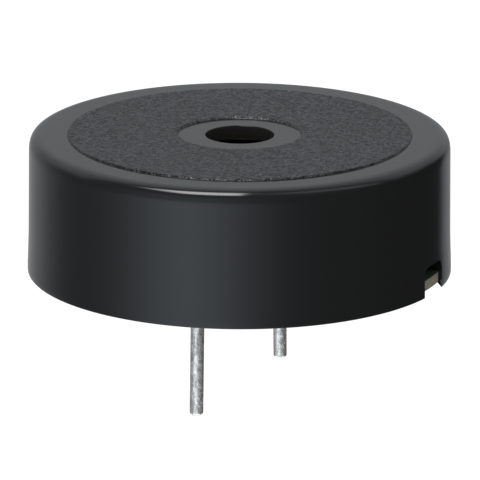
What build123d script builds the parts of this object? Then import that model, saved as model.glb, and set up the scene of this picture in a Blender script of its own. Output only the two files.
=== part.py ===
"""Piezo buzzer with its own drive circuit, for a printed board, in millimetres.

The origin is the centre of the plane that the case stands on. +Z points up through the sound hole,
the two terminal pins point down and lie on the Y axis, and the key notch faces +X.
"""

import os
from math import cos, radians, sin, tan

from build123d import *

os.makedirs("parts", exist_ok=True)


# Case, outside
lip_diameter = 31.0
lip_height = 0.5
lip_reach = 0.06
case_height = 10.1
side_draft = 0.6
shoulder_radius = 0.8

# Case, top face
texture_diameter = 25.0
texture_rise = 0.12
sound_ring_diameter = 9.0
sound_ring_drop = 0.08
sound_hole_diameter = 5.0
top_wall = 1.0

# Case, inside
skirt_wall = 0.5
skirt_bevel = 0.3
side_wall = 1.2
resonator_depth = 2.85
rib_width = 0.8
rib_overlap = 0.3
groove_depth = 0.45
web_count = 8
web_width = 0.9
web_reach = 0.5

# Key notch in the foot of the case
notch_width = 3.2
notch_height = 2.3
notch_corner = 0.45

# Base board
board_thickness = 0.8
board_recess = 0.4
board_clearance = 0.1
tab_clearance = 0.15
tab_setback = 0.05
tab_corner = 0.15
copper_thickness = 0.035
track_width = 0.8
wire_pad_diameter = 2.2

# Diaphragm
plate_edge_gap = 0.74
plate_thickness = 0.2
plate_clearance = 0.15
brass_margin = 3.5
ceramic_thickness = 0.2
electrode_thickness = 0.03
electrode_margin = 0.4
electrode_gap = 0.5
tongue_width = 3.0
tongue_length = 6.8
diaphragm_bead_drop = 0.75
diaphragm_bead_cover = 0.6

# Terminal pins
pin_pitch = 15.0
pin_diameter = 1.0
pin_root_swell = 0.04
pin_reach = 9.0
pin_tip_chamfer = 0.2
pin_stub = 0.5
collar_diameter = 1.8
collar_height = 0.3
pin_hole_clearance = 0.04
pin_pad_diameter = 2.6
pin_solder_diameter = 2.2
pin_solder_drop = 0.27
pin_solder_shoulder = 0.2

# Lead wires
lead_diameter = 0.4
lead_run = 7.0
lead_straight = 1.7
lead_bend_radius = 1.2
solder_dot_diameter = 1.5
solder_dot_height = 0.6
solder_dot_top = 0.7
lead_seat_gap = 0.06
lead_bite = 0.35

# Chip resistors
resistor_length = 2.0
resistor_width = 1.25
resistor_height = 0.5
resistor_cap_width = 0.4
resistor_cap_wall = 0.04

# Transistor
transistor_length = 2.9
transistor_width = 1.3
transistor_height = 0.95
transistor_standoff = 0.08
transistor_side_angle = 7.0
leg_width = 0.42
leg_thickness = 0.12
leg_span = 2.4
leg_foot = 0.45
leg_pitch = 1.9
leg_bend = 0.08

# Places of the leads, in from the edge of the plate or electrode, and of the small components
ground_lead_angle = 180.0
ground_lead_inset = 1.5
main_lead_angle = 140.0
main_lead_inset = 4.6
feedback_lead_angle = 220.0
feedback_lead_inset = 4.0
transistor_x = 3.6
resistor_x = 8.2
resistor_spacing = 3.4

# Bead that holds the board
board_bead_width = 0.8
board_bead_drop = 0.2
board_bead_gap = 1.0


# Sizes that follow from the ones above
lip_radius = lip_diameter / 2
foot_radius = lip_radius - lip_reach
shoulder_top_radius = foot_radius - (case_height - lip_height) * tan(radians(side_draft))
board_bottom = board_recess
board_top = board_recess + board_thickness
copper_top = board_top + copper_thickness
skirt_radius = lip_radius - skirt_wall
board_radius = skirt_radius - board_clearance
inner_radius = foot_radius - side_wall
sound_ring_top = case_height - sound_ring_drop
ceiling = sound_ring_top - top_wall
plate_top = ceiling - resonator_depth
plate_bottom = plate_top - plate_thickness
ceramic_bottom = plate_bottom - ceramic_thickness
electrode_bottom = ceramic_bottom - electrode_thickness
plate_radius = inner_radius - plate_edge_gap
ceramic_radius = plate_radius - brass_margin
rib_outer_radius = plate_radius - rib_overlap
rib_inner_radius = rib_outer_radius - rib_width
groove_top = ceiling - groove_depth
web_bottom = plate_top - web_reach
web_stop_radius = plate_radius + plate_clearance
pin_radius = pin_diameter / 2
pin_root_radius = pin_radius + pin_root_swell
pin_hole_radius = pin_root_radius + pin_hole_clearance
solder_top = board_bottom - copper_thickness
solder_tip = solder_top - pin_solder_drop
electrode_radius = ceramic_radius - electrode_margin
tongue_tip = electrode_radius - tongue_length
lead_seat = lead_diameter / 2 + lead_seat_gap
ground_lead_start = plate_radius - ground_lead_inset
ground_lead_end = ground_lead_start - lead_run
main_lead_start = electrode_radius - main_lead_inset
main_lead_end = main_lead_start + lead_run
feedback_lead_start = electrode_radius - feedback_lead_inset
feedback_lead_end = feedback_lead_start + lead_run


def corner(sketch, across, up):
    """The corner of a profile that lies at this place."""
    return sketch.vertices().sort_by_distance((across, up, 0))[0]


# One web of the ring of webs that centres the diaphragm plate inside the case
with BuildPart() as centring_web:
    with BuildSketch(Plane.XZ):
        with BuildLine():
            Polyline(
                (rib_outer_radius - rib_width / 2, groove_top + groove_depth / 2),
                (inner_radius + side_wall / 2, groove_top + groove_depth / 2),
                (inner_radius + side_wall / 2, web_bottom),
                (web_stop_radius, web_bottom),
                (web_stop_radius, plate_top),
                (rib_outer_radius - rib_width / 2, plate_top),
                close=True,
            )
        make_face()
    extrude(amount=web_width / 2, both=True)


# Case: one moulding, turned from its half section, with the webs, the notch and the key added
with BuildPart() as case:
    with BuildSketch(Plane.XZ) as half_section:
        with BuildLine():
            Polyline(
                (lip_radius, 0),
                (lip_radius, lip_height - lip_reach),
                (foot_radius, lip_height),
                (shoulder_top_radius, case_height),
                (texture_diameter / 2, case_height),
                (texture_diameter / 2, case_height + texture_rise),
                (sound_ring_diameter / 2, case_height + texture_rise),
                (sound_ring_diameter / 2, sound_ring_top),
                (sound_hole_diameter / 2, sound_ring_top),
                (sound_hole_diameter / 2, ceiling),
                (rib_inner_radius, ceiling),
                (rib_inner_radius, plate_top),
                (rib_outer_radius, plate_top),
                (rib_outer_radius, groove_top),
                (inner_radius, groove_top),
                (inner_radius, board_top),
                (skirt_radius, board_top),
                (skirt_radius, skirt_bevel),
                (skirt_radius + skirt_bevel, 0),
                close=True,
            )
        make_face()
        fillet(corner(half_section, shoulder_top_radius, case_height), shoulder_radius)
    revolve(axis=Axis.Z)
    with PolarLocations(0, web_count, start_angle=180 / web_count):
        add(centring_web.part)
    with BuildSketch(Plane.YZ.offset(rib_outer_radius)) as notch:
        Rectangle(notch_width, 2 * notch_height)
        fillet(notch.vertices().group_by(Axis.Y)[-1], notch_corner)
    extrude(amount=lip_radius, mode=Mode.SUBTRACT)


# Base board: a round board with a key tab that fills the notch, and a hole for each pin
with BuildPart() as base_board:
    with BuildSketch(Plane.XY.offset(board_bottom)):
        Circle(board_radius)
        with BuildSketch(mode=Mode.PRIVATE) as key_tab:
            Circle(lip_radius - tab_setback)
            with Locations((lip_radius, 0)):
                Rectangle(
                    2 * (lip_radius - rib_outer_radius),
                    notch_width - 2 * tab_clearance,
                    mode=Mode.INTERSECT,
                )
            fillet(key_tab.vertices().group_by(Axis.X)[-1], tab_corner)
        add(key_tab.sketch)
        with GridLocations(0, pin_pitch, 1, 2):
            Circle(pin_hole_radius, mode=Mode.SUBTRACT)
    extrude(amount=board_thickness)


# Terminal pin: a rod a little thicker through the board, with a collar on it, and its free end
with BuildPart() as terminal_pin:
    with BuildSketch(Plane.XY.offset(solder_tip)):
        Circle(pin_root_radius)
    extrude(amount=copper_top + collar_height + pin_stub - solder_tip)
    chamfer(terminal_pin.edges().group_by(Axis.Z)[-1], pin_tip_chamfer / 2)
    with BuildSketch(Plane.XY.offset(copper_top)):
        Circle(collar_diameter / 2)
    extrude(amount=collar_height)
    with BuildSketch(Plane.XY.offset(-pin_reach)):
        Circle(pin_radius)
    extrude(amount=pin_reach + solder_tip)
    chamfer(terminal_pin.edges().group_by(Axis.Z)[0], pin_tip_chamfer)

with BuildPart() as front_pin:
    with Locations((0, -pin_pitch / 2)):
        add(terminal_pin.part)

with BuildPart() as rear_pin:
    with Locations((0, pin_pitch / 2)):
        add(terminal_pin.part)


# Copper ring around each pin on the outer face of the board
with BuildPart() as pin_pads:
    with BuildSketch(Plane.XY.offset(board_bottom)):
        with GridLocations(0, pin_pitch, 1, 2):
            Circle(pin_pad_diameter / 2)
            Circle(pin_hole_radius, mode=Mode.SUBTRACT)
    extrude(amount=-copper_thickness)


# Solder fillet between each pin and its copper ring, steeper towards the pin
with BuildPart() as solder_fillet:
    with BuildSketch(Plane.XZ):
        with BuildLine():
            Polyline(
                (pin_root_radius, solder_top),
                (pin_solder_diameter / 2, solder_top),
                (pin_root_radius + pin_solder_shoulder, (solder_top + solder_tip) / 2),
                (pin_root_radius, solder_tip),
                close=True,
            )
        make_face()
    revolve(axis=Axis.Z)

with BuildPart() as pin_solder:
    with GridLocations(0, pin_pitch, 1, 2):
        add(solder_fillet.part)


# Diaphragm: brass plate, ceramic disc and the two silver electrodes below it
with BuildPart() as diaphragm_plate:
    with BuildSketch(Plane.XY.offset(plate_bottom)):
        Circle(plate_radius)
    extrude(amount=plate_thickness)

with BuildPart() as piezo_ceramic:
    with BuildSketch(Plane.XY.offset(ceramic_bottom)):
        Circle(ceramic_radius)
    extrude(amount=ceramic_thickness)

with BuildSketch() as tongue:
    with Locations((tongue_tip + tongue_width / 2 + electrode_radius, 0)):
        Rectangle(2 * electrode_radius, tongue_width)
    with Locations((tongue_tip + tongue_width / 2, 0)):
        Circle(tongue_width / 2)

with BuildPart() as feedback_electrode:
    with BuildSketch(Plane.XY.offset(electrode_bottom)):
        add(tongue.sketch, rotation=feedback_lead_angle)
        Circle(electrode_radius, mode=Mode.INTERSECT)
    extrude(amount=electrode_thickness)

with BuildPart() as main_electrode:
    with BuildSketch(Plane.XY.offset(electrode_bottom)):
        Circle(electrode_radius)
        with BuildSketch(mode=Mode.PRIVATE) as cleared_tongue:
            add(tongue.sketch, rotation=feedback_lead_angle)
            offset(amount=electrode_gap)
        add(cleared_tongue.sketch, mode=Mode.SUBTRACT)
    extrude(amount=electrode_thickness)


# Soft ring that holds the edge of the plate in the case, hollowed around the webs
with BuildPart() as diaphragm_adhesive:
    with BuildSketch(Plane.XZ):
        with BuildLine():
            Polyline(
                (plate_radius - diaphragm_bead_cover, plate_bottom),
                (plate_radius, plate_bottom),
                (plate_radius, plate_top),
                (inner_radius, plate_top),
                (inner_radius, plate_top - diaphragm_bead_drop),
                close=True,
            )
        make_face()
    revolve(axis=Axis.Z)
    with PolarLocations(0, web_count, start_angle=180 / web_count):
        add(centring_web.part, mode=Mode.SUBTRACT)


# Bead that holds the board in the foot of the case, left open at the notch
with BuildPart() as board_adhesive:
    with BuildSketch(Plane.XZ):
        with BuildLine():
            Polyline(
                (skirt_radius - board_bead_width, board_bottom),
                (skirt_radius, board_bottom),
                (skirt_radius, board_bottom - board_bead_drop),
                close=True,
            )
        make_face()
    revolve(axis=Axis.Z)
    with BuildSketch(Plane.YZ.offset(rib_outer_radius)):
        Rectangle(notch_width + 2 * board_bead_gap, 2 * board_top)
    extrude(amount=lip_radius, mode=Mode.SUBTRACT)


def lead_plane(angle):
    """The upright plane, through the middle of the buzzer, that a lead lies in."""
    outward = Vector(cos(radians(angle)), sin(radians(angle)), 0)
    return Plane(origin=(0, 0, 0), x_dir=outward, z_dir=outward.cross(Vector(0, 0, 1)))


def lead_wire(angle, start, end, face_height):
    """A wire from a solder dot on the diaphragm down to one on the board, flat at both ends."""
    outward = 1 if end > start else -1
    with BuildPart() as wire:
        with BuildLine(lead_plane(angle)) as route:
            FilletPolyline(
                (start, face_height - lead_seat),
                (start + outward * lead_straight, face_height - lead_seat),
                (end - outward * lead_straight, copper_top + lead_seat),
                (end, copper_top + lead_seat),
                radius=lead_bend_radius,
            )
        with BuildSketch(Plane(origin=route.line @ 0, z_dir=route.line % 0)):
            Circle(lead_diameter / 2)
        sweep(path=route.line)
    return wire.part


ground_wire = lead_wire(ground_lead_angle, ground_lead_start, ground_lead_end, plate_bottom)
main_wire = lead_wire(main_lead_angle, main_lead_start, main_lead_end, electrode_bottom)
feedback_wire = lead_wire(
    feedback_lead_angle, feedback_lead_start, feedback_lead_end, electrode_bottom
)

with BuildPart() as ground_lead:
    add(ground_wire)

with BuildPart() as main_lead:
    add(main_wire)

with BuildPart() as feedback_lead:
    add(feedback_wire)


# Drop of solder, on the copper or below the diaphragm, that holds a wire's end
with BuildPart() as solder_drop:
    with BuildSketch(Plane.XY):
        Circle(solder_dot_diameter / 2)
    with BuildSketch(Plane.XY.offset(solder_dot_height)):
        Circle(solder_dot_top / 2)
    loft()


def drop_plane(angle, along, height, up):
    """The plane that a drop of solder stands on, at a distance along a lead, turned across the lead."""
    middle = lead_plane(angle).from_local_coords((along, height))
    return Plane(origin=middle, x_dir=lead_plane(angle).z_dir, z_dir=(0, 0, up))


with BuildPart() as diaphragm_solder:
    with Locations(
        drop_plane(ground_lead_angle, ground_lead_start - lead_bite, plate_bottom, -1),
        drop_plane(main_lead_angle, main_lead_start + lead_bite, electrode_bottom, -1),
        drop_plane(feedback_lead_angle, feedback_lead_start + lead_bite, electrode_bottom, -1),
    ):
        add(solder_drop.part)
    add([ground_wire, main_wire, feedback_wire], mode=Mode.SUBTRACT)

with BuildPart() as board_solder:
    with Locations(
        drop_plane(ground_lead_angle, ground_lead_end + lead_bite, copper_top, 1),
        drop_plane(main_lead_angle, main_lead_end - lead_bite, copper_top, 1),
        drop_plane(feedback_lead_angle, feedback_lead_end - lead_bite, copper_top, 1),
    ):
        add(solder_drop.part)
    add([ground_wire, main_wire, feedback_wire], mode=Mode.SUBTRACT)


# Chip resistors: a ceramic body with a cap folded over each end
with BuildPart() as chip_body:
    with BuildSketch(Plane.XY.offset(copper_top + resistor_cap_wall)):
        Rectangle(resistor_length - 2 * resistor_cap_wall, resistor_width - 2 * resistor_cap_wall)
    extrude(amount=resistor_height - 2 * resistor_cap_wall)

with BuildPart() as chip_caps:
    with BuildSketch(Plane.XY.offset(copper_top)):
        with GridLocations(resistor_length - resistor_cap_width, 0, 2, 1):
            Rectangle(resistor_cap_width, resistor_width)
    extrude(amount=resistor_height)
    chamfer(chip_caps.edges().filter_by(Axis.Y).group_by(Axis.X)[0], resistor_cap_wall)
    chamfer(chip_caps.edges().filter_by(Axis.Y).group_by(Axis.X)[-1], resistor_cap_wall)
    add(chip_body.part, mode=Mode.SUBTRACT)

with BuildPart() as supply_resistor:
    with Locations((resistor_x, -resistor_spacing)):
        add(chip_body.part)

with BuildPart() as base_resistor:
    with Locations((resistor_x, 0)):
        add(chip_body.part)

with BuildPart() as feedback_resistor:
    with Locations((resistor_x, resistor_spacing)):
        add(chip_body.part)

with BuildPart() as resistor_terminals:
    with Locations((resistor_x, 0)):
        with GridLocations(0, resistor_spacing, 1, 3):
            add(chip_caps.part)


# Transistor: a moulded body with sloping sides, and three legs bent down to the board
body_bottom = copper_top + transistor_standoff
leg_level = body_bottom + transistor_height / 2

with BuildPart() as transistor_body:
    for side in (1, -1):
        with BuildSketch(Plane.XY.offset(leg_level)):
            with Locations((transistor_x, 0)):
                Rectangle(transistor_width, transistor_length)
        extrude(amount=side * transistor_height / 2, taper=transistor_side_angle)

with BuildPart() as transistor_leg:
    with BuildSketch(Plane.XZ) as leg_section:
        with BuildLine():
            Polyline(
                (transistor_width / 2, leg_level - leg_thickness / 2),
                (leg_span / 2 - leg_foot, leg_level - leg_thickness / 2),
                (leg_span / 2 - leg_foot, copper_top),
                (leg_span / 2, copper_top),
                (leg_span / 2, copper_top + leg_thickness),
                (leg_span / 2 - leg_foot + leg_thickness, copper_top + leg_thickness),
                (leg_span / 2 - leg_foot + leg_thickness, leg_level + leg_thickness / 2),
                (transistor_width / 2, leg_level + leg_thickness / 2),
                close=True,
            )
        make_face()
        fillet(corner(leg_section, leg_span / 2 - leg_foot, copper_top), leg_bend)
        fillet(
            corner(leg_section, leg_span / 2 - leg_foot + leg_thickness, leg_level + leg_thickness / 2),
            leg_bend,
        )
    extrude(amount=leg_width / 2, both=True)

with BuildPart() as transistor_leads:
    with Locations((transistor_x, leg_pitch / 2), (transistor_x, -leg_pitch / 2)):
        add(transistor_leg.part)
    with Locations(Location((transistor_x, 0, 0), (0, 0, 180))):
        add(transistor_leg.part)


# Copper on the inner face of the board: pads under each foot and wire, and the tracks between them
resistor_pad_left = resistor_x - resistor_length / 2
resistor_pad_right = resistor_x + resistor_length / 2
leg_pad_right = transistor_x + leg_span / 2
leg_pad_left = transistor_x - leg_span / 2
wire_pads = [
    (lead_end * cos(radians(angle)), lead_end * sin(radians(angle)))
    for lead_end, angle in (
        (ground_lead_end, ground_lead_angle),
        (main_lead_end, main_lead_angle),
        (feedback_lead_end, feedback_lead_angle),
    )
]
track_routes = (
    [(0, -pin_pitch / 2), (resistor_pad_left, -resistor_spacing)],
    [(leg_pad_right, -leg_pitch / 2), (resistor_pad_left, 0)],
    [(leg_pad_right, leg_pitch / 2), (resistor_pad_left, resistor_spacing)],
    [(resistor_pad_right, -resistor_spacing), (resistor_pad_right, resistor_spacing)],
    [(0, pin_pitch / 2), (leg_pad_left, 0), wire_pads[0]],
)

with BuildPart() as top_copper:
    with BuildSketch(Plane.XY.offset(board_top)):
        for track in track_routes:
            with BuildLine():
                Polyline(*track)
            trace(line_width=track_width)
        with Locations(*wire_pads):
            Circle(wire_pad_diameter / 2)
        with GridLocations(0, pin_pitch, 1, 2):
            Circle(pin_pad_diameter / 2)
            Circle(pin_hole_radius, mode=Mode.SUBTRACT)
    extrude(amount=copper_thickness)


pieces = {
    "case": case,
    "base_board": base_board,
    "front_pin": front_pin,
    "rear_pin": rear_pin,
    "pin_pads": pin_pads,
    "pin_solder": pin_solder,
    "diaphragm_plate": diaphragm_plate,
    "piezo_ceramic": piezo_ceramic,
    "main_electrode": main_electrode,
    "feedback_electrode": feedback_electrode,
    "diaphragm_adhesive": diaphragm_adhesive,
    "board_adhesive": board_adhesive,
    "ground_lead": ground_lead,
    "main_lead": main_lead,
    "feedback_lead": feedback_lead,
    "diaphragm_solder": diaphragm_solder,
    "board_solder": board_solder,
    "supply_resistor": supply_resistor,
    "base_resistor": base_resistor,
    "feedback_resistor": feedback_resistor,
    "resistor_terminals": resistor_terminals,
    "transistor_body": transistor_body,
    "transistor_leads": transistor_leads,
    "top_copper": top_copper,
}
for piece_name, piece in pieces.items():
    piece.part.label = piece_name
    export_step(piece.part, f"parts/{piece_name}.step")
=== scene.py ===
"""Looks of the piezo buzzer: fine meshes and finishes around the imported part, in a plain studio.

Shapes are drawn in millimetres and scaled to metres as each piece is finished.
"""

import logging
import math
from dataclasses import dataclass, field
from enum import Enum
from typing import Any, Sequence

import bmesh
import bpy
from mathutils import Matrix, Vector, noise


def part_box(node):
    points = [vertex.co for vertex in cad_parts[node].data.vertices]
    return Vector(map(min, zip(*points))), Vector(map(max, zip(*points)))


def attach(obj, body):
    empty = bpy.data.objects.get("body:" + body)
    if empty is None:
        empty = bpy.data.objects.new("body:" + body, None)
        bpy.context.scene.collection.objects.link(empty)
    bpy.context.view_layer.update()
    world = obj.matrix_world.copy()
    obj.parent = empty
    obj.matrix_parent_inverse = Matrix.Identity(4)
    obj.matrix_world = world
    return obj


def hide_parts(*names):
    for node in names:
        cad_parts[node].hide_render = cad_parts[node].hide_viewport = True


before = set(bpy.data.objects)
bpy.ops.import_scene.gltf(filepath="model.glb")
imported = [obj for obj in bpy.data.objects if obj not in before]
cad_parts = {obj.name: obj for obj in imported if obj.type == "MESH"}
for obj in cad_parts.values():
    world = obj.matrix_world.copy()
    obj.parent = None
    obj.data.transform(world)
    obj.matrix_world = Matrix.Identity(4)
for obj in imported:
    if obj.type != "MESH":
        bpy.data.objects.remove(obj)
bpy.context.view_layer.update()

LOG = logging.getLogger("piezo_buzzer")
METRES = 0.001
PER_METRE = 1.0 / METRES
BODY = "root"
UP = Vector((0.0, 0.0, 1.0))

# How near a corner counts as lying at a place, and how near corners are joined, in millimetres
NEAR = 2e-3
MERGE_DISTANCE = 2e-4
SHARP_ANGLE = math.radians(32.0)

Colour = tuple[float, float, float]
Point2 = tuple[float, float]
Span = tuple[float, float]
Triple = tuple[float, float, float]
Values = dict[Any, Any] | None
Shape = bmesh.types.BMesh


def opaque(colour: Colour) -> tuple[float, float, float, float]:
    """The colour with full alpha."""
    return (*colour, 1.0)


# Shader expressions


class Signal:
    """A node's output, with Python's operators standing for Math nodes."""

    def __init__(self, recipe: "Recipe", socket: bpy.types.NodeSocket) -> None:
        """Wraps a socket of this recipe."""
        self.recipe = recipe
        self.socket = socket

    def __add__(self, other: Any) -> "Signal":
        """self + other."""
        return self.recipe.math("ADD", self, other)

    __radd__ = __add__

    def __sub__(self, other: Any) -> "Signal":
        """self - other."""
        return self.recipe.math("SUBTRACT", self, other)

    def __rsub__(self, other: Any) -> "Signal":
        """other - self."""
        return self.recipe.math("SUBTRACT", other, self)

    def __mul__(self, other: Any) -> "Signal":
        """self * other."""
        return self.recipe.math("MULTIPLY", self, other)

    __rmul__ = __mul__

    def __truediv__(self, other: Any) -> "Signal":
        """self / other."""
        return self.recipe.math("DIVIDE", self, other)

    def __rtruediv__(self, other: Any) -> "Signal":
        """other / self."""
        return self.recipe.math("DIVIDE", other, self)

    def above(self, limit: Any) -> "Signal":
        """1 where self is over the limit, else 0."""
        return self.recipe.math("GREATER_THAN", self, limit)

    def below(self, limit: Any) -> "Signal":
        """1 where self is under the limit, else 0."""
        return self.recipe.math("LESS_THAN", self, limit)

    def bell(self, middle: float, spread: float) -> "Signal":
        """A smooth hump, 1 at the middle, that fades over the spread."""
        offset = (self - middle) / spread
        return self.recipe.math("EXPONENT", offset * offset * -0.5)

    def rise(self, low: float, high: float) -> "Signal":
        """A smooth step from 0 at low to 1 at high."""
        limits = {"Value": self, "From Min": low, "From Max": high}
        return self.recipe.add("ShaderNodeMapRange", {"interpolation_type": "SMOOTHSTEP"}, limits)

    def fall(self, low: float, high: float) -> "Signal":
        """A smooth step from 1 at low to 0 at high."""
        return 1.0 - self.rise(low, high)

    def within(self, low: float, high: float, edge: float) -> "Signal":
        """1 between low and high, with a soft edge of this width."""
        half = edge / 2
        return self.rise(low - half, low + half) * self.fall(high - half, high + half)

    def toward(self, goal: Any, share: "Signal") -> "Signal":
        """self where the share is 0, and the goal where it is 1."""
        return self + (goal - self) * share


class Recipe:
    """The node tree of one material or world. Every node comes from its add method."""

    # Where a Mix node has its factor, its two colours and its result
    FACTOR, FIRST, SECOND, RESULT = 0, 6, 7, 2

    def __init__(self, owner: bpy.types.ID) -> None:
        """Empties a node tree.

        Args:
            owner: the material or the world that the tree belongs to.
        """
        owner.use_nodes = True
        self.tree = owner.node_tree
        self.tree.nodes.clear()

    def add(
        self, kind: str, settings: Values = None, inputs: Values = None, output: Any = 0
    ) -> Signal:
        """Adds any node.

        Args:
            kind: the node's type.
            settings: its properties, set first.
            inputs: a value or a Signal for each socket's name or number.
            output: the name or number of the output that is wanted.

        Returns:
            That output.
        """
        node = self.tree.nodes.new(kind)
        for name, value in (settings or {}).items():
            setattr(node, name, value)
        for name, value in (inputs or {}).items():
            if isinstance(value, Signal):
                self.tree.links.new(value.socket, node.inputs[name])
            else:
                node.inputs[name].default_value = value
        return Signal(self, node.outputs[output] if len(node.outputs) else None)

    def math(self, operation: str, *inputs: Any) -> Signal:
        """One Math node of this operation on these inputs."""
        return self.add("ShaderNodeMath", {"operation": operation}, dict(enumerate(inputs)))

    def mix(self, factor: Any, first: Any, second: Any) -> Signal:
        """A colour between two.

        Args:
            factor: 0 for the first, 1 for the second.
            first: a colour or a Signal.
            second: a colour or a Signal.

        Returns:
            The mixed colour.
        """
        first, second = (c if isinstance(c, Signal) else opaque(c) for c in (first, second))
        inputs = {self.FACTOR: factor, self.FIRST: first, self.SECOND: second}
        return self.add("ShaderNodeMix", {"data_type": "RGBA"}, inputs, self.RESULT)

    def place(self, stretch: Triple = (1.0, 1.0, 1.0)) -> Signal:
        """The place on the object.

        Args:
            stretch: what each of its axes is multiplied by.

        Returns:
            The place in millimetres, stretched.
        """
        where = self.add("ShaderNodeTexCoord", output="Object")
        scale = tuple(PER_METRE * factor for factor in stretch)
        return self.add("ShaderNodeMapping", inputs={"Vector": where, "Scale": scale})

    def axes(self, place: Signal) -> list[Signal]:
        """The X, Y and Z of a place."""
        split = self.add("ShaderNodeSeparateXYZ", inputs={0: place})
        return [Signal(self, output) for output in split.socket.node.outputs]

    def noise(self, place: Signal, per_mm: float, detail: float, rough: float = 0.5) -> Signal:
        """Even noise, from 0 to 1, with this many lumps to a millimetre."""
        inputs = {"Vector": place, "Scale": per_mm, "Detail": detail, "Roughness": rough}
        return self.add("ShaderNodeTexNoise", {}, inputs, "Fac")

    def cells(self, place: Signal, per_mm: float) -> Signal:
        """The distance to the nearest of many scattered points, with this many to a millimetre."""
        return self.add("ShaderNodeTexVoronoi", {}, {"Vector": place, "Scale": per_mm}, "Distance")

    def bump(self, height: Signal, depth_mm: float, strength: float) -> Signal:
        """A normal bent by this height, which is 1 at the depth."""
        inputs = {"Height": height, "Distance": depth_mm * METRES, "Strength": strength}
        return self.add("ShaderNodeBump", {}, inputs)


# Finishes


@dataclass(frozen=True)
class Finish:
    """A surface finish. Each kind mixes the inputs of its Principled shader."""

    name: str

    def surface(self, recipe: Recipe) -> dict[str, Any]:
        """The shader's inputs for this finish."""
        raise NotImplementedError

    def material(self) -> bpy.types.Material:
        """Makes the material once, to be shared by all pieces that wear it.

        Returns:
            The material.
        """
        made = bpy.data.materials.get(self.name)
        if made is None:
            made = bpy.data.materials.new(self.name)
            recipe = Recipe(made)
            shader = recipe.add("ShaderNodeBsdfPrincipled", inputs=self.surface(recipe))
            recipe.add("ShaderNodeOutputMaterial", inputs={"Surface": shader})
        return made


@dataclass(frozen=True)
class MouldedPlastic(Finish):
    """Black moulding compound: smooth, with a finely grained raised ring. Its colour holds painted
    shade, painted sheen and painted glints on that ring, and painted light inside the hole. Lengths
    in millimetres.
    """

    grain_level: float = 10.075
    grain_top: float = 10.2
    grain_radius: float = 12.575
    throat_radius: float = 2.52
    throat_top: float = 10.0
    smooth_colour: Colour = (0.0062, 0.0064, 0.0066)
    # painted light: a lighter black inside the hole, standing in for the light that reaches in there
    throat_painted_light_colour: Colour = (0.0165, 0.0162, 0.0152)
    # painted shade: a deeper black in the hollows of the grained ring
    grain_hollow_painted_shade: Colour = (0.0, 0.0005, 0.001)
    # painted sheen: the grey-blue that the grained ring shows, laid into its colour over the black
    grain_painted_sheen_colour: Colour = (0.0317, 0.0355, 0.0384)
    # painted glints: light specks scattered over the grained ring
    painted_glint_colour: Colour = (0.12, 0.125, 0.13)
    smooth_roughness: float = 0.12
    grain_roughness: float = 0.58
    slope_roughness: float = 0.3
    gloss_drift: float = 0.04
    clouds_per_mm: float = 0.9
    coarse_per_mm: float = 3.0
    fine_per_mm: float = 6.0
    grain_edge: Span = (0.42, 0.58)
    # painted glints: their spacing, their edge, how strongly they show, and their bump
    glints_per_mm: float = 2.2
    glint_edge: Span = (0.08, 0.22)
    glint_share: float = 0.75
    grain_relief: float = 3.5
    glint_relief: float = 0.4
    slope_relief: float = 1.2
    smooth_relief: float = 0.06
    relief_depth: float = 0.03
    relief_strength: float = 0.9
    refraction: float = 1.5

    def surface(self, recipe: Recipe) -> dict[str, Any]:
        """Mixes the black plastic.

        Args:
            recipe: the material's node tree.

        Returns:
            The shader's inputs.
        """
        place = recipe.place()
        x, y, z = recipe.axes(place)
        squares = x * x + y * y
        grained = z.above(self.grain_level) * squares.below(self.grain_radius**2)
        slope = grained * z.below(self.grain_top)
        # Painted light: marks the inside of the hole, which gets the lighter black.
        throat_painted_light_mask = squares.below(self.throat_radius**2) * z.below(self.throat_top)
        clouds = recipe.noise(place, self.clouds_per_mm, 3.0)
        coarse = recipe.noise(place, self.coarse_per_mm, 1.0)
        fine = recipe.noise(place, self.fine_per_mm, 1.0)
        grain = coarse * 0.5 + fine * 0.5
        # Painted glints: light specks on the grained ring, where the clouds are thick.
        painted_glints = recipe.cells(place, self.glints_per_mm).fall(*self.glint_edge) * clouds.above(0.5)
        # The grained ring's colour: painted shade in the hollows of the grain, painted sheen on its
        # tops, then the painted glints.
        ring = recipe.mix(grain.rise(*self.grain_edge), self.grain_hollow_painted_shade, self.grain_painted_sheen_colour)
        ring = recipe.mix(painted_glints * self.glint_share, ring, self.painted_glint_colour)
        # The plain black, with painted light inside the hole.
        plain = recipe.mix(throat_painted_light_mask, self.smooth_colour, self.throat_painted_light_colour)
        colour = recipe.mix(grained, plain, ring)
        roughness = self.smooth_roughness + (self.grain_roughness - self.smooth_roughness) * grained
        roughness = roughness - (self.grain_roughness - self.slope_roughness) * slope
        roughness = roughness + (clouds - 0.5) * self.gloss_drift
        rough = grain * self.grain_relief + painted_glints * self.glint_relief
        rough = rough + slope * fine * self.slope_relief
        relief = grained * rough + clouds * self.smooth_relief
        normal = recipe.bump(relief, self.relief_depth, self.relief_strength)
        return {
            "Base Color": colour, "Roughness": roughness, "IOR": self.refraction, "Normal": normal
        }


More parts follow.
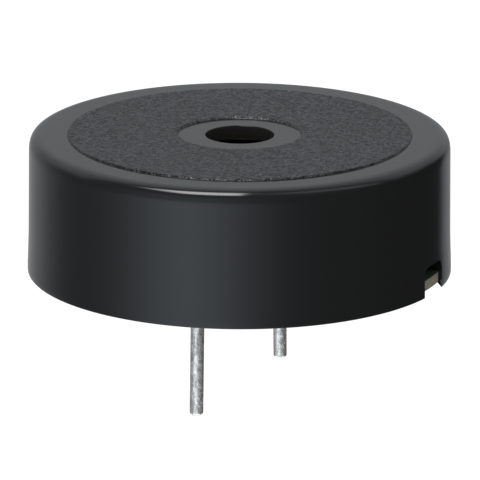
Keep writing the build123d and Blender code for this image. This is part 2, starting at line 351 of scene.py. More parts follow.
@dataclass(frozen=True)
class BoardLaminate(Finish):
    """Glass laminate: green resist on both faces, and bare tan fibres on the sawn edge."""

    bottom: float = 0.4
    top: float = 1.2
    resist_band: float = 0.07
    resist_blur: float = 0.03
    resist_colour: Colour = (0.02, 0.033, 0.022)
    resist_lift: float = 1.5
    edge_colour: Colour = (0.2, 0.18, 0.12)
    fibre_colour: Colour = (0.085, 0.08, 0.055)
    fibre_stretch: Triple = (1.0, 1.0, 9.0)
    fibres_per_mm: float = 2.4
    fibre_edge: Span = (0.35, 0.7)
    lumps_per_mm: float = 3.0
    lump_relief: float = 0.2
    resist_roughness: float = 0.3
    edge_roughness: float = 0.75
    gloss_drift: float = 0.1
    relief_depth: float = 0.03
    relief_strength: float = 0.6

    def surface(self, recipe: Recipe) -> dict[str, Any]:
        """Mixes the laminate.

        Args:
            recipe: the material's node tree.

        Returns:
            The shader's inputs.
        """
        place = recipe.place()
        z = recipe.axes(place)[2]
        fibres = recipe.noise(recipe.place(self.fibre_stretch), self.fibres_per_mm, 4.0, 0.6)
        lumps = recipe.noise(place, self.lumps_per_mm, 3.0)
        low, high = self.bottom + self.resist_band, self.top - self.resist_band
        edge = z.within(low, high, self.resist_blur)
        tan = recipe.mix(fibres.rise(*self.fibre_edge), self.fibre_colour, self.edge_colour)
        lifted = tuple(self.resist_lift * part for part in self.resist_colour)
        colour = recipe.mix(edge, recipe.mix(lumps, self.resist_colour, lifted), tan)
        roughness = self.resist_roughness + (self.edge_roughness - self.resist_roughness) * edge
        roughness = roughness + (lumps - 0.5) * self.gloss_drift
        relief = edge * fibres + lumps * self.lump_relief
        normal = recipe.bump(relief, self.relief_depth, self.relief_strength)
        return {"Base Color": colour, "Roughness": roughness, "Normal": normal}


@dataclass(frozen=True)
class BareMetal(Finish):
    """Drawn, plated or poured metal, a little uneven in colour and gloss."""

    bright: Colour
    dull: Colour
    roughness: float
    unevenness: float
    lumps_per_mm: float
    stretch: Triple = (1.0, 1.0, 1.0)
    relief_depth: float = 0.012
    metallic: float = 1.0
    patch_edge: Span = (0.35, 0.68)
    fine_ratio: float = 5.0
    fine_relief: float = 0.35
    relief_strength: float = 0.8

    def surface(self, recipe: Recipe) -> dict[str, Any]:
        """Mixes the metal.

        Args:
            recipe: the material's node tree.

        Returns:
            The shader's inputs.
        """
        place = recipe.place(self.stretch)
        patches = recipe.noise(place, self.lumps_per_mm, 3.0, 0.6)
        fine = recipe.noise(place, self.lumps_per_mm * self.fine_ratio, 2.0)
        colour = recipe.mix(patches.rise(*self.patch_edge), self.dull, self.bright)
        roughness = self.roughness + (0.5 - patches) * self.unevenness
        relief = patches + fine * self.fine_relief
        normal = recipe.bump(relief, self.relief_depth, self.relief_strength)
        return {
            "Base Color": colour, "Metallic": self.metallic, "Roughness": roughness, "Normal": normal
        }


@dataclass(frozen=True)
class DullSolid(Finish):
    """A plain non-metal: fired ceramic, silicone, insulation or moulding compound."""

    colour: Colour
    shade: float
    roughness: float
    lumps_per_mm: float
    relief_depth: float = 0.01
    coat: float = 0.0
    lump_edge: Span = (0.3, 0.7)
    unevenness: float = 0.12
    relief_strength: float = 0.7

    def surface(self, recipe: Recipe) -> dict[str, Any]:
        """Mixes the solid.

        Args:
            recipe: the material's node tree.

        Returns:
            The shader's inputs.
        """
        lumps = recipe.noise(recipe.place(), self.lumps_per_mm, 3.0)
        darker = tuple(self.shade * part for part in self.colour)
        colour = recipe.mix(lumps.rise(*self.lump_edge), darker, self.colour)
        roughness = self.roughness + (lumps - 0.5) * self.unevenness
        normal = recipe.bump(lumps, self.relief_depth, self.relief_strength)
        return {
            "Base Color": colour, "Roughness": roughness, "Coat Weight": self.coat, "Normal": normal
        }


class WireColour(Enum):
    """Colours of the insulation on the three leads."""

    GROUND = (0.02, 0.02, 0.022)
    MAIN = (0.45, 0.02, 0.015)
    FEEDBACK = (0.02, 0.06, 0.4)


class Finishes:
    """The finishes of the pieces, with their numbers in the order of the class's fields."""

    CASE = MouldedPlastic("case_plastic")
    BOARD = BoardLaminate("board_laminate")
    PIN = BareMetal(
        "tinned_pin", (1.0, 0.96, 0.91), (0.5, 0.48, 0.46), 0.27, 0.5, 4.2,
        stretch=(1.0, 1.0, 0.45), relief_depth=0.07, metallic=0.9
    )
    SOLDER = BareMetal("solder", (0.72, 0.72, 0.73), (0.5, 0.5, 0.5), 0.3, 0.1, 1.6)
    PAD = BareMetal("tinned_pad", (0.7, 0.69, 0.66), (0.5, 0.49, 0.46), 0.34, 0.1, 1.2)
    COPPER = BareMetal("copper_track", (0.85, 0.45, 0.28), (0.6, 0.3, 0.18), 0.34, 0.12, 1.2)
    BRASS = BareMetal("brass_plate", (0.74, 0.62, 0.4), (0.58, 0.47, 0.29), 0.38, 0.12, 0.8)
    SILVER = BareMetal("fired_silver", (0.82, 0.81, 0.78), (0.68, 0.67, 0.64), 0.5, 0.12, 2.5)
    CERAMIC = DullSolid("piezo_ceramic", (0.42, 0.36, 0.26), 0.85, 0.55, 4.0)
    SILICONE = DullSolid("silicone_bead", (0.62, 0.62, 0.6), 0.9, 0.35, 0.8, 0.03, 0.2)
    EPOXY = DullSolid("board_epoxy", (0.012, 0.012, 0.013), 0.8, 0.28, 0.8, 0.03, 0.3)
    RESISTOR = DullSolid("resistor_body", (0.03, 0.03, 0.032), 0.8, 0.4, 3.0, 0.006, 0.2)
    TRANSISTOR = DullSolid("transistor_body", (0.018, 0.018, 0.019), 0.8, 0.55, 6.0)
    GROUND_WIRE = DullSolid("wire_ground", WireColour.GROUND.value, 0.85, 0.4, 2.0)
    MAIN_WIRE = DullSolid("wire_main", WireColour.MAIN.value, 0.85, 0.4, 2.0)
    FEEDBACK_WIRE = DullSolid("wire_feedback", WireColour.FEEDBACK.value, 0.85, 0.4, 2.0)


# Shapes


def corners_of(node: str) -> tuple[Vector, Vector]:
    """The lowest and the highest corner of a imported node, in millimetres."""
    low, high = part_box(node)
    return low * PER_METRE, high * PER_METRE


def turned(outline: Sequence[Point2], steps: int) -> Shape:
    """A body spun about the Z axis.

    Args:
        outline: (radius, height) points. It closes on itself unless it starts and ends on the axis.
        steps: how many facets go round.

    Returns:
        The body, with its poles and its seam closed.
    """
    shape = bmesh.new()
    points = [shape.verts.new((radius, 0.0, height)) for radius, height in outline]
    on_axis = outline[0][0] == 0.0 and outline[-1][0] == 0.0
    followers = points[1:] if on_axis else points[1:] + points[:1]
    edges = [shape.edges.new(pair) for pair in zip(points, followers)]
    bmesh.ops.spin(
        shape, geom=points + edges, axis=UP, angle=math.tau, steps=steps, use_merge=True
    )
    bmesh.ops.remove_doubles(shape, verts=shape.verts, dist=MERGE_DISTANCE)
    bmesh.ops.recalc_face_normals(shape, faces=shape.faces)
    return shape


def ring_at(shape: Shape, radius: float, height: float) -> list[bmesh.types.BMEdge]:
    """Finds the edges that go round.

    Args:
        shape: the mesh.
        radius: how far they lie from the Z axis.
        height: how high they lie.

    Returns:
        Those edges.
    """
    level = [v for v in shape.verts if abs(v.co.z - height) < NEAR]
    there = {v for v in level if abs(v.co.xy.length - radius) < NEAR}
    return [e for e in shape.edges if there.issuperset(e.verts)]


def round_off(
    shape: Shape, edges: list[bmesh.types.BMEdge], width: float, segments: int
) -> None:
    """Rounds edges off.

    Args:
        shape: the mesh.
        edges: the edges to round.
        width: how far from the edge the round starts.
        segments: how many facets it has.
    """
    bmesh.ops.bevel(
        shape, geom=edges, offset=width, segments=segments, profile=0.5, affect="EDGES",
        material=-1, clamp_overlap=True
    )


def add_block(
    shape: Shape, low: Sequence[float], high: Sequence[float], turn: float
) -> list[bmesh.types.BMVert]:
    """Adds a block.

    Args:
        shape: the mesh that it joins.
        low: its lowest corner.
        high: its highest corner.
        turn: the angle about Z that it is then turned by, in degrees.

    Returns:
        Its corners.
    """
    low, high = Vector(low), Vector(high)
    size = Matrix.Diagonal((*(high - low), 1.0))
    spin = Matrix.Rotation(math.radians(turn), 4, "Z")
    place = spin @ Matrix.Translation((low + high) / 2) @ size
    return bmesh.ops.create_cube(shape, size=1.0, matrix=place)["verts"]


def new_piece(name: str, shape: Shape, finish: Finish, node: str) -> None:
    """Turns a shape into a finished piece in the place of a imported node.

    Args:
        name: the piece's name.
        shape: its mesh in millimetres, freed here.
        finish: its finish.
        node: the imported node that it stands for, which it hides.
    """
    open_edges = sum(1 for edge in shape.edges if not edge.is_manifold)
    bmesh.ops.scale(shape, vec=(METRES,) * 3, verts=shape.verts)
    mesh = bpy.data.meshes.new(name)
    shape.to_mesh(mesh)
    shape.free()
    mesh.shade_smooth()
    mesh.set_sharp_from_angle(angle=SHARP_ANGLE)
    mesh.materials.append(finish.material())
    piece = bpy.data.objects.new(name, mesh)
    flats = piece.modifiers.new("even_flats", "WEIGHTED_NORMAL")
    flats.keep_sharp = True
    bpy.context.scene.collection.objects.link(piece)
    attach(piece, BODY)
    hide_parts(node)
    LOG.info("%s: %d faces, %d open edges", name, len(mesh.polygons), open_edges)


def dress(finish: Finish, *nodes: str) -> None:
    """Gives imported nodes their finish.

    Args:
        finish: the finish that they wear.
        nodes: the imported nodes.
    """
    for node in nodes:
        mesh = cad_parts[node].data
        mesh.materials.clear()
        mesh.materials.append(finish.material())
        LOG.info("%s: dressed in %s", node, finish.name)


# Sub-assemblies


@dataclass
class Case:
    """The black moulding. Lengths in millimetres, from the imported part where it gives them."""

    lip_radius: float
    height: float
    board_top: float
    plate_radius: float
    lip_height: float = 0.5
    lip_reach: float = 0.06
    lip_round: float = 0.04
    draft: float = 0.6
    flare_height: float = 2.9
    shoulder_width: float = 1.05
    shoulder_drop: float = 1.2
    shoulder_power: float = 3.1
    shoulder_facets: int = 24
    grain_radius: float = 12.5
    grain_rise: float = 0.12
    outer_slope: float = 0.06
    inner_slope: float = 0.13
    sound_ring_radius: float = 4.57
    sound_ring_drop: float = 0.04
    sound_ring_depth: float = 0.08
    hole_radius: float = 2.5
    hole_round: float = 0.05
    hole_margin: float = 0.12
    top_wall: float = 1.0
    side_wall: float = 1.2
    rib: Span = (12.4, 13.2)
    resonator: float = 2.85
    groove: float = 0.45
    skirt_wall: float = 0.5
    skirt_bevel: float = 0.44
    notch_half_width: float = 1.6
    notch_height: float = 2.2
    notch_corner: float = 0.7
    notch_facets: int = 8
    notch_shift: float = -0.28
    notch_edge: float = 0.05
    web_count: int = 8
    web_width: float = 0.9
    web_reach: float = 0.5
    web_gap: float = 0.15
    parting_angle: float = -31.0
    parting_width: float = 0.2
    parting_rise: float = 0.028
    wander: float = 0.032
    wander_per_mm: float = 2.6
    edge_facets: int = 3
    small_facets: int = 2
    steps: int = 288
    shape: Shape = field(init=False)

    @classmethod
    def from_frame(cls) -> "Case":
        """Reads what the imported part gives.

        Returns:
            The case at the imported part's size.
        """
        low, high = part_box("case")
        return cls(
            lip_radius=-low.x * PER_METRE,
            height=high.z * PER_METRE - cls.grain_rise,
            board_top=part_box("base_board")[1].z * PER_METRE,
            plate_radius=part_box("diaphragm_plate")[1].y * PER_METRE,
        )

    @property
    def foot_radius(self) -> float:
        """The radius just over the lip."""
        return self.lip_radius - self.lip_reach

    @property
    def inner_radius(self) -> float:
        """The radius of the inner face of the side."""
        return self.foot_radius - self.side_wall

    @property
    def sound_ring_top(self) -> float:
        """The height of the smooth ring round the hole."""
        return self.height - self.sound_ring_drop

    @property
    def ceiling(self) -> float:
        """The height of the inner face of the top."""
        return self.height - self.sound_ring_depth - self.top_wall

    @property
    def plate_top(self) -> float:
        """The height of the diaphragm's upper face."""
        return self.ceiling - self.resonator

    def side_radius(self, height: float) -> float:
        """The radius of the drafted side at a height."""
        return self.foot_radius - (height - self.lip_height) * math.tan(math.radians(self.draft))

    def side_and_shoulder(self) -> list[Point2]:
        """Draws the side above the flare, and the shoulder, which is tightest in its middle.

        Returns:
            (radius, height) points, going up.
        """
        start = self.height - self.shoulder_drop
        points = [(self.side_radius(self.flare_height), self.flare_height)]
        for facet in range(self.shoulder_facets + 1):
            turn = math.pi / 2 * facet / self.shoulder_facets
            inward = 1.0 - max(math.cos(turn), 0.0) ** (2.0 / self.shoulder_power)
            rise = math.sin(turn) ** (2.0 / self.shoulder_power)
            height = start + self.shoulder_drop * rise
            points.append((self.side_radius(height) - self.shoulder_width * inward, height))
        return points

    def outline(self) -> list[Point2]:
        """Draws the half section.

        Returns:
            (radius, height) points from the foot up the outside, and back down the inside.
        """
        skirt = self.lip_radius - self.skirt_wall
        grain_top = self.height + self.grain_rise
        return [
            (self.lip_radius, 0.0),
            (self.lip_radius, self.lip_height),
            *self.side_and_shoulder(),
            (self.grain_radius + self.outer_slope, self.height),
            (self.grain_radius, grain_top),
            (self.sound_ring_radius, grain_top),
            (self.sound_ring_radius - self.inner_slope, self.sound_ring_top),
            (self.hole_radius + self.hole_margin, self.sound_ring_top),
            (self.hole_radius, self.sound_ring_top),
            (self.hole_radius, self.ceiling),
            (self.rib[0], self.ceiling),
            (self.rib[0], self.plate_top),
            (self.rib[1], self.plate_top),
            (self.rib[1], self.ceiling - self.groove),
            (self.inner_radius, self.ceiling - self.groove),
            (self.inner_radius, self.board_top),
            (skirt, self.board_top),
            (skirt, self.skirt_bevel),
            (skirt + self.skirt_bevel, 0.0),
        ]

    def round_rings(self) -> None:
        """Rounds the edges that go round the moulding."""
        for radius, height, width, facets in (
            (self.lip_radius, 0.0, self.lip_round, self.edge_facets),
            (self.hole_radius, self.sound_ring_top, self.hole_round, self.edge_facets),
            (self.hole_radius, self.ceiling, self.hole_round, self.small_facets),
        ):
            round_off(self.shape, ring_at(self.shape, radius, height), width, facets)

    def roughen_edges(self) -> None:
        """Makes the edges of the grained ring wander a little."""
        for vert in self.shape.verts:
            reach = vert.co.xy.length
            off = min(abs(reach - self.grain_radius), abs(reach - self.sound_ring_radius))
            if vert.co.z > self.sound_ring_top - NEAR and off < self.inner_slope + NEAR:
                step = noise.noise(Vector((vert.co.x, vert.co.y, 0.0)) * self.wander_per_mm)
                vert.co.xy *= 1.0 + self.wander * step / reach

    def notch_planes(self) -> list[tuple[Vector, Vector]]:
        """Lays planes round the notch's opening.

        Returns:
            Each as a point on it and the direction that leads out of the notch.
        """
        straight = self.notch_half_width - self.notch_corner
        level = self.notch_height - self.notch_corner
        planes = []
        for side in (-1.0, 1.0):
            for facet in range(self.notch_facets + 1):
                turn = math.pi / 2 * facet / self.notch_facets
                outward = Vector((0.0, side * math.cos(turn), math.sin(turn)))
                middle = Vector((0.0, self.notch_shift + side * straight, level))
                planes.append((middle + outward * self.notch_corner, outward))
        return planes

    def cut_notch(self) -> None:
        """Cuts the notch through the wall at +X."""
        inside = [
            f
            for f in self.shape.faces
            if f.calc_center_median().x > self.rib[1]
            and min(v.co.z for v in f.verts) < self.notch_height
        ]
        for point, outward in self.notch_planes():
            parts = set(inside)
            for face in inside:
                parts.update(face.edges)
                parts.update(face.verts)
            cut = bmesh.ops.bisect_plane(
                self.shape, geom=list(parts), dist=MERGE_DISTANCE, plane_co=point, plane_no=outward
            )
            faces = [g for g in cut["geom"] if isinstance(g, bmesh.types.BMFace)]
            inside = [f for f in faces if (f.calc_center_median() - point).dot(outward) < 0.0]
        bmesh.ops.delete(self.shape, geom=inside, context="FACES")

    def add_cheek(self, flat: float) -> None:
        """Closes one upright side of the notch, up to where its corner starts.

        Args:
            flat: where that side lies along Y.
        """
        level = self.notch_height - self.notch_corner + NEAR
        cheek = [
            e
            for e in self.shape.edges
            if e.is_boundary and all(abs(v.co.y - flat) < NEAR and v.co.z < level for v in e.verts)
        ]
        corners = {v for e in cheek for v in e.verts}
        ends = [v for v in corners if sum(e in cheek for e in v.link_edges) == 1]
        cheek.append(self.shape.edges.new(ends))
        bmesh.ops.edgeloop_fill(self.shape, edges=cheek)

    def close_notch(self) -> None:
        """Gives the notch its two cheeks and its roof, and rounds its mouth."""
        for side in (-1.0, 1.0):
            self.add_cheek(self.notch_shift + side * self.notch_half_width)
        middle = self.lip_radius - self.side_wall / 2
        rim = [e for e in self.shape.edges if e.is_boundary]
        outer = [e for e in rim if all(v.co.xy.length > middle for v in e.verts)]
        inner = [e for e in rim if all(v.co.xy.length < middle for v in e.verts)]
        bmesh.ops.bridge_loops(self.shape, edges=outer + inner)
        bmesh.ops.recalc_face_normals(self.shape, faces=self.shape.faces)
        mouth = [e for e in outer if min(v.co.z for v in e.verts) > self.lip_height]
        round_off(self.shape, mouth, self.notch_edge, self.small_facets)

    def add_webs(self) -> None:
        """Adds the webs that centre the diaphragm."""
        outer = self.inner_radius + self.side_wall / 2
        half = self.web_width / 2
        root = sum(self.rib) / 2
        stop = self.plate_radius + self.web_gap
        under_groove = self.ceiling - self.groove / 2
        for web in range(self.web_count):
            turn = 360.0 * (web + 0.5) / self.web_count
            low = (root, -half, self.plate_top)
            add_block(self.shape, low, (outer, half, under_groove), turn)
            low = (stop, -half, self.plate_top - self.web_reach)
            add_block(self.shape, low, (outer, half, self.plate_top), turn)

    def add_parting_line(self) -> None:
        """Adds the faint ridge that the mould's halves left down the side."""
        foot, width = self.side_radius(self.flare_height), self.parting_width
        top = self.height - self.shoulder_drop
        crest = foot + self.parting_rise
        low = (foot - self.parting_rise, -width, self.flare_height)
        line = add_block(self.shape, low, (crest, width, top), self.parting_angle)
        outward = Matrix.Rotation(math.radians(self.parting_angle), 3, "Z") @ Vector((1, 0, 0))
        for vert in line:
            if vert.co.dot(outward) > foot:
                vert.co.xy = outward.xy * crest
        upper = [v for v in line if v.co.z > top - NEAR]
        lean = self.side_radius(top) - foot
        bmesh.ops.translate(self.shape, vec=outward * lean, verts=upper)
        bmesh.ops.remove_doubles(self.shape, verts=line, dist=MERGE_DISTANCE)

    def build(self) -> None:
        """Makes the case."""
        self.shape = turned(self.outline(), self.steps)
        self.round_rings()
        self.roughen_edges()
        self.cut_notch()
        self.close_notch()
        self.add_webs()
        self.add_parting_line()
        new_piece("case_moulding", self.shape, Finishes.CASE, "case")


@dataclass
class TerminalPins:
    """The two tinned pins with their solder. Lengths in millimetres."""

    radius: float = 0.5
    root_swell: float = 0.04
    tip_chamfer: float = 0.2
    tip_round: float = 0.06
    tip_facets: int = 3
    collar_radius: float = 0.9
    collar_height: float = 0.3
    stub: float = 0.5
    solder_radius: float = 1.1
    solder_facets: int = 7
    solder_hollow: float = 1.9
    front_lean: Triple = (-0.09, -0.04, -0.19)
    rear_lean: Triple = (0.09, 0.04, -0.12)
    steps: int = 64

    def outline(self, low: float, high: float, solder_tip: float) -> list[Point2]:
        """Draws the half section of a pin.

        Args:
            low: the height of its tip.
            high: the height of its other end.
            solder_tip: the height where it thickens.

        Returns:
            (radius, height) points from the tip to the other end.
        """
        root = self.radius + self.root_swell
        shelf = high - self.stub
        blunt = self.tip_chamfer / 2
        return [
            (0.0, low),
            (self.radius - self.tip_chamfer, low),
            (self.radius, low + self.tip_chamfer),
            (self.radius, solder_tip),
            (root, solder_tip),
            (root, shelf - self.collar_height),
            (self.collar_radius, shelf - self.collar_height),
            (self.collar_radius, shelf),
            (root, shelf),
            (root, high - blunt),
            (root - blunt, high),
            (0.0, high),
        ]

    def build_pin(self, node: str, lean: Vector) -> None:
        """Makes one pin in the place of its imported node.

        Args:
            node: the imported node.
            lean: how far the tip stands off from a straight pin's, as the photo shows it.
        """
        low, high = corners_of(node)
        solder_tip = corners_of("pin_solder")[0].z
        shape = turned(self.outline(low.z, high.z, solder_tip), self.steps)
        for inset, rise in ((self.tip_chamfer, 0.0), (0.0, self.tip_chamfer)):
            ring = ring_at(shape, self.radius - inset, low.z + rise)
            round_off(shape, ring, self.tip_round, self.tip_facets)
        for vert in shape.verts:
            vert.co += lean * max(0.0, (solder_tip - vert.co.z) / (solder_tip - low.z))
        bmesh.ops.translate(shape, vec=(0.0, (low.y + high.y) / 2, 0.0), verts=shape.verts)
        new_piece(node + "_tinned", shape, Finishes.PIN, node)

    def build_solder(self) -> None:
        """Makes the two hollow fillets of solder under the board."""
        low, high = corners_of("pin_solder")
        root = self.radius + self.root_swell
        outline = [(root, high.z)]
        for facet in range(self.solder_facets + 1):
            part = facet / self.solder_facets
            radius = self.solder_radius + (root - self.solder_radius) * part
            outline.append((radius, high.z + (low.z - high.z) * part**self.solder_hollow))
        shape = bmesh.new()
        middle = high.y - self.solder_radius
        for place in (-middle, middle):
            drop = turned(outline, self.steps)
            bmesh.ops.translate(drop, vec=(0.0, place, 0.0), verts=drop.verts)
            mesh = bpy.data.meshes.new("solder_fillet")
            drop.to_mesh(mesh)
            drop.free()
            shape.from_mesh(mesh)
            bpy.data.meshes.remove(mesh)
        new_piece("pin_solder_fillets", shape, Finishes.SOLDER, "pin_solder")

    def build(self) -> None:
        """Makes both pins and their solder."""
        self.build_pin("front_pin", Vector(self.front_lean))
        self.build_pin("rear_pin", Vector(self.rear_lean))
        self.build_solder()
        dress(Finishes.PAD, "pin_pads")


@dataclass
class BoardAssembly:
    """The base board, the bead that holds it, and the copper on it. Lengths in millimetres."""

    bead_width: float = 0.8
    bead_drop: float = 0.2
    bead_facets: int = 6
    bead_hollow: float = 1.8
    open_half_width: float = 2.6
    key_setback: float = 0.22
    key_shift: float = -0.12
    steps: int = 240

    def build_board(self) -> None:
        """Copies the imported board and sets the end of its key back."""
        shape = bmesh.new()
        shape.from_mesh(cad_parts["base_board"].data)
        bmesh.ops.scale(shape, vec=(PER_METRE,) * 3, verts=shape.verts)
        bmesh.ops.remove_doubles(shape, verts=shape.verts, dist=MERGE_DISTANCE)
        limit = corners_of("base_board")[1].y + NEAR
        for vert in shape.verts:
            if vert.co.xy.length > limit:
                vert.co.x -= self.key_setback
                vert.co.y += self.key_shift
        new_piece("board_with_key", shape, Finishes.BOARD, "base_board")

    def build_bead(self) -> None:
        """Makes the bead, a hollow fillet that stops short of the notch."""
        high = corners_of("board_adhesive")[1]
        profile = [(high.y, high.z)]
        for facet in range(self.bead_facets + 1):
            part = facet / self.bead_facets
            drop = self.bead_drop * part**self.bead_hollow
            profile.append((high.y - self.bead_width * (1 - part), high.z - drop))
        shape = bmesh.new()
        start = math.asin(self.open_half_width / high.y)
        points = [shape.verts.new((r, 0.0, z)) for r, z in profile]
        edges = [shape.edges.new(pair) for pair in zip(points, points[1:] + points[:1])]
        bmesh.ops.rotate(shape, matrix=Matrix.Rotation(start, 3, "Z"), verts=points)
        bmesh.ops.spin(
            shape, geom=points + edges, axis=UP, angle=math.tau - 2 * start, steps=self.steps
        )
        bmesh.ops.holes_fill(shape, edges=[e for e in shape.edges if e.is_boundary], sides=0)
        bmesh.ops.recalc_face_normals(shape, faces=shape.faces)
        new_piece("board_bead", shape, Finishes.EPOXY, "board_adhesive")

    def build(self) -> None:
        """Dresses the board and makes its bead."""
        self.build_board()
        dress(Finishes.COPPER, "top_copper")
        self.build_bead()


@dataclass
class Diaphragm:
    """The brass plate with its ceramic, electrodes and soft ring."""

    def build(self) -> None:
        """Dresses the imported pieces."""
        dress(Finishes.BRASS, "diaphragm_plate")
        dress(Finishes.CERAMIC, "piezo_ceramic")
        dress(Finishes.SILVER, "main_electrode", "feedback_electrode")
        dress(Finishes.SILICONE, "diaphragm_adhesive")


@dataclass
class DriveCircuit:
    """The leads and the components of the oscillator."""

    def build(self) -> None:
        """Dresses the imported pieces."""
        dress(Finishes.GROUND_WIRE, "ground_lead")
        dress(Finishes.MAIN_WIRE, "main_lead")
        dress(Finishes.FEEDBACK_WIRE, "feedback_lead")
        dress(Finishes.SOLDER, "diaphragm_solder", "board_solder")
        dress(Finishes.RESISTOR, "supply_resistor", "base_resistor", "feedback_resistor")
        dress(Finishes.PAD, "resistor_terminals", "transistor_leads")
        dress(Finishes.TRANSISTOR, "transistor_body")


# Studio


@dataclass(frozen=True)
class Panorama:
    """The room that gloss and metal mirror, as a brightness in each direction.

    Turns from the camera to the right and lifts over the horizon are in degrees. Places overhead
    are in heights of the ceiling.
    """

    right_wall: Span = (137.0, 152.0)
    right_wall_glow: float = 0.275
    left_wall: Span = (-142.0, -100.0)
    left_wall_glow: float = 0.22
    room_glow: float = 0.042
    near_room: Span = (45.0, 125.0)
    near_room_glow: float = 0.1
    left_room: Span = (-100.0, -60.0)
    left_room_glow: float = 0.04
    reflector_turn: float = -28.0
    reflector_spread: float = 25.5
    reflector_glow: float = 1.1
    reflector_top: Span = (-14.5, -5.0)
    reflector_fading: float = 0.55
    ceiling_lift: Span = (2.0, 36.0)
    ceiling_glow: float = 0.7
    ceiling_front: Span = (-0.4, 0.05)
    ceiling_fading: float = 0.46
    strip_place: float = 0.5
    strip_spread: float = 0.22
    strip_side: Span = (-0.1, 0.6)
    strip_glow: float = 0.75
    back_turn: Span = (120.0, 150.0)
    back_foot: Span = (0.0, 10.0)
    back_top: Span = (16.0, 46.0)
    back_glow: float = 0.45
    floor_lift: Span = (-52.0, -26.0)
    floor_glow: float = 1.5
    window_left: Span = (-0.92, -0.42)
    window_right: Span = (-0.02, 0.07)
    window_back: Span = (0.02, 0.34)
    window_front: Span = (0.72, 1.2)
    window_glow: float = 9.5
    window_edge: Span = (0.0, 0.2)
    least_up: float = 0.05
    overhead_up: float = 0.3
    least_glow: float = 0.01
    room_colour: Colour = (0.97, 1.0, 1.03)
    reflector_colour: Colour = (0.88, 1.0, 1.12)
    window_colour: Colour = (1.0, 1.0, 0.99)

    def strip(self, across: Signal, deep: Signal, overhead: Signal) -> Signal:
        """The pale strip at the ceiling's right."""
        band = deep.bell(self.strip_place, self.strip_spread) * across.rise(*self.strip_side)
        return band * overhead * self.strip_glow

    def window(self, across: Signal, deep: Signal, overhead: Signal) -> Signal:
        """1 in the bright window in the ceiling, with soft edges."""
        width = across.rise(*self.window_left) * across.fall(*self.window_right)
        return width * deep.rise(*self.window_back) * deep.fall(*self.window_front) * overhead

    def mirrored(self, recipe: Recipe, right: Vector, near: Vector) -> tuple[Signal, Signal]:
        """Mixes the whole room.

        Args:
            recipe: the world's node tree.
            right: the level direction to the picture's right.
            near: the level direction towards the camera.

        Returns:
            The colour and the brightness in each direction.
        """
        direction = recipe.add("ShaderNodeTexCoord", output="Generated")

        def along(axis: Vector) -> Signal:
            """How far the direction goes along an axis."""
            inputs, settings = {0: direction, 1: axis}, {"operation": "DOT_PRODUCT"}
            return recipe.add("ShaderNodeVectorMath", settings, inputs, "Value")

        side, front, up = along(right), along(near), along(UP)
        turn = recipe.math("ARCTAN2", side, front) * math.degrees(1.0)
        lift = recipe.math("ARCSINE", up) * math.degrees(1.0)
        across = side / recipe.math("MAXIMUM", up, self.least_up)
        deep = front / recipe.math("MAXIMUM", up, self.least_up)
        overhead = up.above(self.overhead_up)
        reflector = turn.bell(self.reflector_turn, self.reflector_spread) * self.reflector_glow
        reflector = reflector * (1.0 - self.reflector_fading * lift.rise(*self.reflector_top))
        wall = turn.rise(*self.right_wall) * self.right_wall_glow
        wall = wall + turn.fall(*self.left_wall) * self.left_wall_glow
        room = turn.fall(*self.near_room) * self.near_room_glow + self.room_glow
        room = room + turn.fall(*self.left_room) * self.left_room_glow
        glow = wall + room + reflector
        ceiling = self.ceiling_glow - self.ceiling_fading * deep.rise(*self.ceiling_front)
        ceiling = ceiling + self.strip(across, deep, overhead)
        glow = glow.toward(ceiling, lift.rise(*self.ceiling_lift))
        back = recipe.math("ABSOLUTE", turn).rise(*self.back_turn) * lift.rise(*self.back_foot)
        glow = glow.toward(self.back_glow, back * lift.fall(*self.back_top))
        glow = glow.toward(self.floor_glow, lift.fall(*self.floor_lift))
        window = self.window(across, deep, overhead)
        share = reflector / (glow + self.least_glow)
        tint = recipe.mix(share, self.room_colour, self.reflector_colour)
        tint = recipe.mix(window.rise(*self.window_edge), tint, self.window_colour)
        return tint, glow + window * self.window_glow


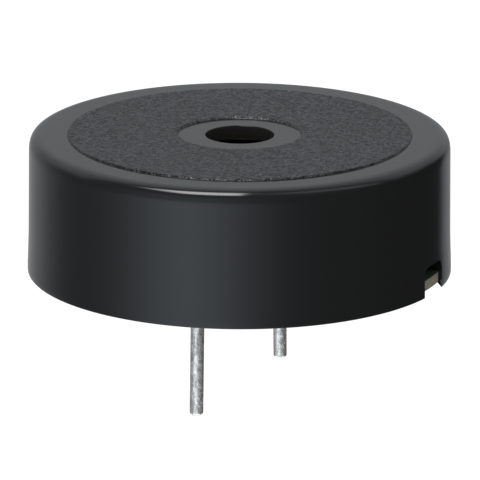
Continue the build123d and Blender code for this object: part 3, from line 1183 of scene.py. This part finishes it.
@dataclass
class Studio:
    """Camera, floor, lamps and surroundings. Lengths in metres, angles in degrees."""

    azimuth: float = 23.4
    elevation: float = 15.946
    roll: float = -0.192
    distance: float = 0.421279
    focal_pixels: float = 5767.3
    frame_pixels: float = 480.0
    sensor_mm: float = 36.0
    nearest: float = 0.01
    farthest: float = 20.0
    target_height: float = 0.005
    target_pixel: Point2 = (239.41, 201.353)
    floor_level: float = -0.04
    floor_size: float = 3.0
    floor_colour: Colour = (0.82, 0.82, 0.82)
    floor_glow: float = 1.5
    floor_glow_share: float = 0.35
    fill_light: float = 0.72
    lamp_distance: float = 0.5
    lamp_size: float = 0.35
    key_place: Triple = (-0.5, 0.4, 1.0)
    key_power: float = 1.6
    side_place: Triple = (0.7, 0.2, 0.8)
    side_share: float = 1.0 / 3.0

    @property
    def toward(self) -> Vector:
        """The level direction from the part towards the camera."""
        turn = math.radians(self.azimuth)
        return Vector((math.sin(turn), -math.cos(turn), 0.0))

    @property
    def right(self) -> Vector:
        """The level direction to the picture's right."""
        turn = math.radians(self.azimuth)
        return Vector((math.cos(turn), math.sin(turn), 0.0))

    def add_camera(self) -> None:
        """Sets the camera so that the target falls on its own pixel."""
        tip = math.radians(self.elevation)
        back = self.toward * math.cos(tip) + UP * math.sin(tip)
        up = back.cross(self.right)
        off_x = self.target_pixel[0] - self.frame_pixels / 2
        off_y = self.frame_pixels / 2 - self.target_pixel[1]
        pan = math.atan2(off_x, self.focal_pixels)
        tilt = math.atan2(off_y, math.hypot(self.focal_pixels, off_x))
        ahead = -back
        side = self.right * math.cos(pan) + ahead * math.sin(pan)
        ahead = -self.right * math.sin(pan) + ahead * math.cos(pan)
        rise = up * math.cos(tilt) + ahead * math.sin(tilt)
        ahead = -up * math.sin(tilt) + ahead * math.cos(tilt)
        lean = math.radians(self.roll)
        level_side = side * math.cos(lean) - rise * math.sin(lean)
        level_rise = side * math.sin(lean) + rise * math.cos(lean)
        lens = bpy.data.cameras.new("studio_camera")
        lens.sensor_width = self.sensor_mm
        lens.lens = self.focal_pixels / self.frame_pixels * self.sensor_mm
        lens.clip_start = self.nearest
        lens.clip_end = self.farthest
        camera = bpy.data.objects.new("studio_camera", lens)
        turn = Matrix((level_side, level_rise, -ahead)).transposed().to_4x4()
        place = UP * self.target_height + back * self.distance
        camera.matrix_world = Matrix.Translation(place) @ turn
        bpy.context.scene.collection.objects.link(camera)
        bpy.context.scene.camera = camera

    def floor_material(self) -> bpy.types.Material:
        """Mixes the pale paper, which can't be seen from below.

        Returns:
            The floor's material.
        """
        made = bpy.data.materials.new("studio_floor")
        recipe = Recipe(made)
        to_camera = recipe.add("ShaderNodeLightPath", output="Is Camera Ray")
        from_below = recipe.add("ShaderNodeNewGeometry", output="Backfacing")
        paper = recipe.add("ShaderNodeBsdfDiffuse", inputs={"Color": opaque(self.floor_colour)})
        glow = recipe.add("ShaderNodeEmission", inputs={"Strength": self.floor_glow})
        inputs = {0: to_camera * self.floor_glow_share, 1: paper, 2: glow}
        lit = recipe.add("ShaderNodeMixShader", inputs=inputs)
        clear = recipe.add("ShaderNodeBsdfTransparent")
        inputs = {0: from_below * to_camera, 1: lit, 2: clear}
        seen = recipe.add("ShaderNodeMixShader", inputs=inputs)
        recipe.add("ShaderNodeOutputMaterial", inputs={"Surface": seen})
        return made

    def add_floor(self) -> None:
        """Adds the pale floor. It lies under the part and keeps its shadow."""
        shape = bmesh.new()
        place = Matrix.Translation(UP * self.floor_level)
        bmesh.ops.create_grid(
            shape, x_segments=1, y_segments=1, size=self.floor_size / 2, matrix=place
        )
        mesh = bpy.data.meshes.new("studio_floor")
        shape.to_mesh(mesh)
        shape.free()
        mesh.materials.append(self.floor_material())
        floor = bpy.data.objects.new("studio_floor", mesh)
        floor.visible_glossy = False
        bpy.context.scene.collection.objects.link(floor)

    def add_lamp(self, name: str, place: Triple, power: float) -> None:
        """Adds a soft lamp that faces the part.

        Args:
            name: its name.
            place: how far it stands to the picture's right, towards the camera and up, each in
                lamp distances.
            power: its power in watts.
        """
        lamp = bpy.data.lights.new(name, "AREA")
        lamp.size = self.lamp_size
        lamp.energy = power
        stand = bpy.data.objects.new(name, lamp)
        side, ahead, height = place
        stands = (self.right * side + self.toward * ahead + UP * height) * self.lamp_distance
        turn = stands.to_track_quat("Z", "Y").to_matrix().to_4x4()
        stand.matrix_world = Matrix.Translation(stands) @ turn
        stand.visible_glossy = False
        bpy.context.scene.collection.objects.link(stand)

    def add_world(self) -> None:
        """Adds the surroundings: white behind, even light, and the panorama in reflections."""
        world = bpy.data.worlds.new("studio_world")
        recipe = Recipe(world)
        rays = ("Is Camera Ray", "Is Glossy Ray", "Is Transmission Ray")
        to_camera, *bounced = [recipe.add("ShaderNodeLightPath", output=ray) for ray in rays]
        mirrored = recipe.math("MAXIMUM", *bounced)
        tint, glow = Panorama().mirrored(recipe, self.right, self.toward)
        strength = mirrored * glow + (1.0 - mirrored) * self.fill_light
        strength = strength * (1.0 - to_camera) + to_camera
        colour = recipe.mix(mirrored, (1.0, 1.0, 1.0), tint)
        sky = recipe.add("ShaderNodeBackground", inputs={"Color": colour, "Strength": strength})
        recipe.add("ShaderNodeOutputWorld", inputs={"Surface": sky})
        bpy.context.scene.world = world

    def build(self) -> None:
        """Makes the studio."""
        bpy.context.scene.view_settings.view_transform = "Standard"
        self.add_camera()
        self.add_floor()
        self.add_lamp("key_lamp", self.key_place, self.key_power)
        self.add_lamp("side_lamp", self.side_place, self.key_power * self.side_share)
        self.add_world()


def main() -> None:
    """Builds each sub-assembly and the studio."""
    logging.basicConfig(level=logging.INFO, format="%(name)s: %(message)s")
    Case.from_frame().build()
    TerminalPins().build()
    BoardAssembly().build()
    Diaphragm().build()
    DriveCircuit().build()
    Studio().build()


if __name__ == "__main__":
    main()
